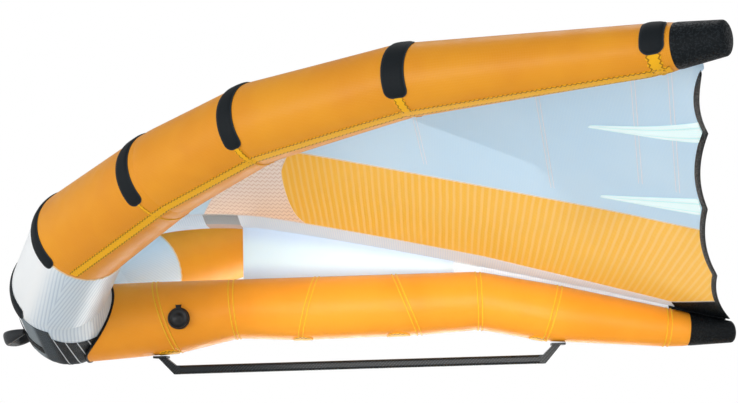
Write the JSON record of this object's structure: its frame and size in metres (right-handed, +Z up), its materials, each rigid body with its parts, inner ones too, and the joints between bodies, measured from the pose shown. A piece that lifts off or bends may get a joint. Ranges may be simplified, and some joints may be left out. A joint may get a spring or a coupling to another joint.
{
  "type": "hand wing for wing foiling",
  "caption": "Inflatable hand-held foiling wing: segmented air tube leading edge, air-filled strut, sewn canopy, carbon boom under the strut, nose handle and hinged air valve.",
  "frame": {"origin": "middle of the boom's flat underside, where the rider's hands hold", "axes": "+X aft along the strut, +Y to the right of a rider who faces forward, +Z up through the canopy"},
  "size_m": [2.0697, 2.9228, 0.6332],
  "materials": {
    "orange_cloth": "glossy coated polyester cloth, orange",
    "white_cloth": "glossy coated polyester cloth, white with pale grey stripes",
    "pale_ripstop": "thin ripstop cloth, pale blue",
    "band_cloth": "thin ripstop cloth, warm yellow",
    "window_film": "see-through scrim film",
    "centre_film": "see-through lavender cloth",
    "black_patch": "thick padded patch, charcoal",
    "black_cloth": "coarse black ripstop",
    "bladder_film": "thin welded polyurethane film",
    "carbon": "satin woven carbon fibre",
    "black_plastic": "moulded black plastic",
    "spring_steel": "drawn spring wire",
    "webbing": "padded black webbing"
  },
  "bodies": {
    "wing": {"nose_panel": "white_cloth", "shoulder_panel_left": "white_cloth", "shoulder_panel_right": "white_cloth", "inner_tube_panel_left": "orange_cloth", "inner_tube_panel_right": "orange_cloth", "middle_tube_panel_left": "orange_cloth", "middle_tube_panel_right": "orange_cloth", "outer_tube_panel_left": "orange_cloth", "outer_tube_panel_right": "orange_cloth", "tip_tube_panel_left": "orange_cloth", "tip_tube_panel_right": "orange_cloth", "tip_cap_left": "black_cloth", "tip_cap_right": "black_cloth", "leading_edge_bladder": "bladder_film", "joint_patch_1_left": "black_patch", "joint_patch_1_right": "black_patch", "joint_patch_2_left": "black_patch", "joint_patch_2_right": "black_patch", "joint_patch_3_left": "black_patch", "joint_patch_3_right": "black_patch", "joint_patch_4_left": "black_patch", "joint_patch_4_right": "black_patch", "joint_patch_5_left": "black_patch", "joint_patch_5_right": "black_patch", "joint_patch_6_left": "black_patch", "joint_patch_6_right": "black_patch", "canopy_outer_left": "pale_ripstop", "canopy_outer_right": "pale_ripstop", "canopy_band_left": "band_cloth", "canopy_band_right": "band_cloth", "canopy_window_left": "window_film", "canopy_window_right": "window_film", "canopy_centre": "centre_film", "canopy_corner_patch": "black_cloth", "trailing_edge_binding_left": "black_cloth", "trailing_edge_binding_right": "black_cloth", "outer_batten_left": "pale_ripstop", "outer_batten_right": "pale_ripstop", "inner_batten_left": "pale_ripstop", "inner_batten_right": "pale_ripstop", "strut_front_panel": "orange_cloth", "strut_valve_panel": "orange_cloth", "strut_middle_panel": "orange_cloth", "strut_rear_panel": "orange_cloth", "strut_bend_panel": "orange_cloth", "strut_tail_panel": "orange_cloth", "strut_tail_cap": "black_cloth", "strut_bladder": "bladder_film", "strut_web": "centre_film", "boom_tube": "carbon", "boom_front_leg": "carbon", "boom_rear_leg": "carbon", "nose_patch": "black_cloth", "handle_base": "black_cloth", "valve_base": "black_plastic", "valve_spring": "spring_steel"},
    "valve_cap": {"valve_cap": "black_plastic"},
    "valve_plunger": {"valve_plunger": "black_plastic"},
    "grab_handle": {"grab_handle": "webbing"}
  },
  "joints": [
    {"name": "valve_cap_hinge", "type": "hinge", "parent": "wing", "child": "valve_cap", "pos_m": [-0.492, -0.1069, 0.186], "axis": [-1, 0, 0], "range_deg": [0, 150]},
    {"name": "valve_plunger_push", "type": "slide", "parent": "wing", "child": "valve_plunger", "axis": [0, 1, 0], "range_m": [0, 0.0055]},
    {"name": "grab_handle_swing", "type": "hinge", "parent": "wing", "child": "grab_handle", "pos_m": [-0.9511, 0, 0.1265], "axis": [0, 1, 0], "range_deg": [-25, 25]}
  ]
}
